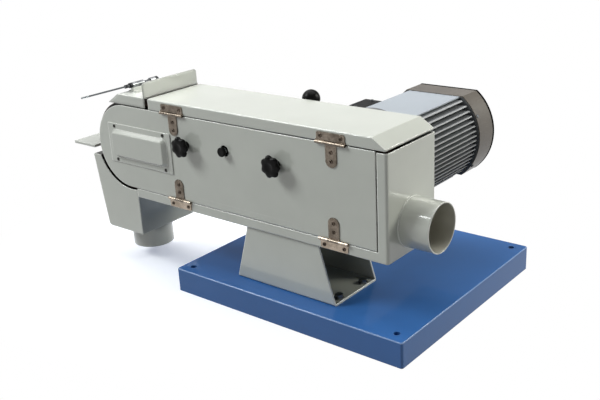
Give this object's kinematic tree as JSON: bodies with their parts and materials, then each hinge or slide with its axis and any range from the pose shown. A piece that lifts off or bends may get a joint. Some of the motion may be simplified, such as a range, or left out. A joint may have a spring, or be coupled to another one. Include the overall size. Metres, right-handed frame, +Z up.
{
  "type": "bench belt sander",
  "caption": "Bench belt sander: a closed housing with a hinged door and lid around a wide belt on a contact wheel and a motor-driven wheel, on a pedestal and a bolted base plate.",
  "frame": {"origin": "centre of the base plate's underside, on the bench", "axes": "+X from the contact wheel towards the rear spigot, along the longest extent; +Y from the door side towards the motor; +Z up"},
  "size_m": [0.985, 0.526, 0.4605],
  "materials": {
    "light_grey_paint": "semi-gloss baked enamel",
    "blue_paint": "gloss baked enamel",
    "motor_paint": "satin enamel on ribbed casting",
    "plate_paint": "satin, bare panel",
    "cowl_paint": "satin enamel",
    "plated_steel": "bright nickel plated",
    "zinc_steel": "zinc plated",
    "ground_steel": "ground",
    "mild_steel": "oiled, as rolled",
    "cast_iron": "machined casting",
    "cast_aluminium": "machined casting",
    "tyre_rubber": "ground rubber",
    "abrasive_cloth": "aluminium oxide grit on cloth",
    "graphite_pad": "graphite-faced canvas",
    "black_plastic": "moulded phenolic",
    "gland_plastic": "moulded polyamide",
    "clear_plastic": "clear polycarbonate"
  },
  "bodies": {
    "frame": {"base_plate": "blue_paint", "pedestal": "light_grey_paint", "pedestal_bolts": "zinc_steel", "housing": "light_grey_paint", "rear_spigot": "light_grey_paint", "spark_chute": "light_grey_paint", "chute_spigot": "light_grey_paint", "visor": "light_grey_paint", "shield_hinge": "plated_steel", "sanding_belt": "abrasive_cloth", "platen": "mild_steel", "platen_pad": "graphite_pad", "housing_posts": "ground_steel", "spring_seat": "mild_steel", "tension_spring": "mild_steel", "tension_guide": "light_grey_paint", "wall_bolts": "zinc_steel", "motor_flange": "motor_paint", "motor_frame": "motor_paint", "motor_top_plate": "plate_paint", "motor_end_shield": "motor_paint", "stator": "mild_steel", "motor_bearings": "ground_steel", "fan_cowl": "cowl_paint", "terminal_box": "gland_plastic", "terminal_box_lid": "gland_plastic", "cable_gland": "gland_plastic", "motor_screws": "zinc_steel", "lower_hinge_leaves": "plated_steel", "lower_hinge_pins": "plated_steel", "lower_leaf_screws": "plated_steel"},
    "drive_rotor": {"motor_shaft": "ground_steel", "rotor_core": "mild_steel", "cooling_fan": "black_plastic", "drive_wheel": "cast_iron", "drive_key": "mild_steel", "drive_wheel_screw": "zinc_steel"},
    "tension_fork": {"tension_fork": "mild_steel", "contact_axle": "ground_steel", "axle_spacers": "ground_steel"},
    "contact_wheel": {"contact_hub": "cast_aluminium", "contact_tyre": "tyre_rubber", "contact_bearings": "ground_steel"},
    "tension_lever": {"tension_lever": "zinc_steel", "ball_knob": "black_plastic"},
    "tracking_knob": {"tracking_knob": "black_plastic"},
    "work_rest": {"work_rest": "light_grey_paint"},
    "door": {"door_panel": "light_grey_paint", "raised_cover": "light_grey_paint", "door_straps": "plated_steel", "door_screws": "plated_steel", "upper_hinge_pins": "plated_steel"},
    "star_knob_front": {"star_knob_front": "black_plastic"},
    "star_knob_rear": {"star_knob_rear": "black_plastic"},
    "lid": {"lid": "light_grey_paint", "lid_hinge_leaves": "plated_steel", "lid_leaf_screws": "plated_steel"},
    "eye_shield": {"shield_clamp": "plated_steel", "shield_rod": "ground_steel", "shield_pane": "clear_plastic"}
  },
  "joints": [
    {"name": "door_hinge", "type": "hinge", "parent": "frame", "child": "door", "pos_m": [0, -0.22455, 0.20375], "axis": [1, 0, 0], "range_deg": [0, 90]},
    {"name": "lid_hinge", "type": "hinge", "parent": "door", "child": "lid", "pos_m": [0, -0.22455, 0.4014], "axis": [1, 0, 0], "range_deg": [0, 170]},
    {"name": "drive_spin", "type": "hinge", "parent": "frame", "child": "drive_rotor", "pos_m": [0.098, -0.138, 0.3155], "axis": [0, 1, 0], "continuous": true},
    {"name": "contact_spin", "type": "hinge", "parent": "tension_fork", "child": "contact_wheel", "pos_m": [-0.476, -0.138, 0.3025], "axis": [0, 1, 0], "continuous": true},
    {"name": "lever_swing", "type": "hinge", "parent": "frame", "child": "tension_lever", "pos_m": [-0.084, -0.03, 0.313], "axis": [0, -1, 0], "range_deg": [0, 60]},
    {"name": "tension_slide", "type": "slide", "parent": "frame", "child": "tension_fork", "axis": [1, 0, 0], "range_m": [0, 0.006], "deforming": ["tension_spring"]},
    {"name": "star_front_turn", "type": "hinge", "parent": "door", "child": "star_knob_front", "pos_m": [-0.2738, -0.225, 0.3374], "axis": [0, 1, 0], "continuous": true},
    {"name": "star_rear_turn", "type": "hinge", "parent": "door", "child": "star_knob_rear", "pos_m": [-0.0165, -0.225, 0.3374], "axis": [0, 1, 0], "continuous": true},
    {"name": "tracking_turn", "type": "hinge", "parent": "frame", "child": "tracking_knob", "pos_m": [-0.16, -0.22, 0.3417], "axis": [0, 1, 0], "range_deg": [-360, 360]},
    {"name": "rest_slide", "type": "slide", "parent": "frame", "child": "work_rest", "axis": [1, 0, 0], "range_m": [-0.02, 0.015]},
    {"name": "shield_tilt", "type": "hinge", "parent": "frame", "child": "eye_shield", "pos_m": [-0.468, -0.1575, 0.4425], "axis": [0, 1, 0], "range_deg": [-5, 80]}
  ],
  "couplings": [
    {"joint": "contact_spin", "follows": "drive_spin", "ratio": 0.87379},
    {"joint": "lever_swing", "follows": "tension_slide", "rad_per_m": 174.5}
  ]
}
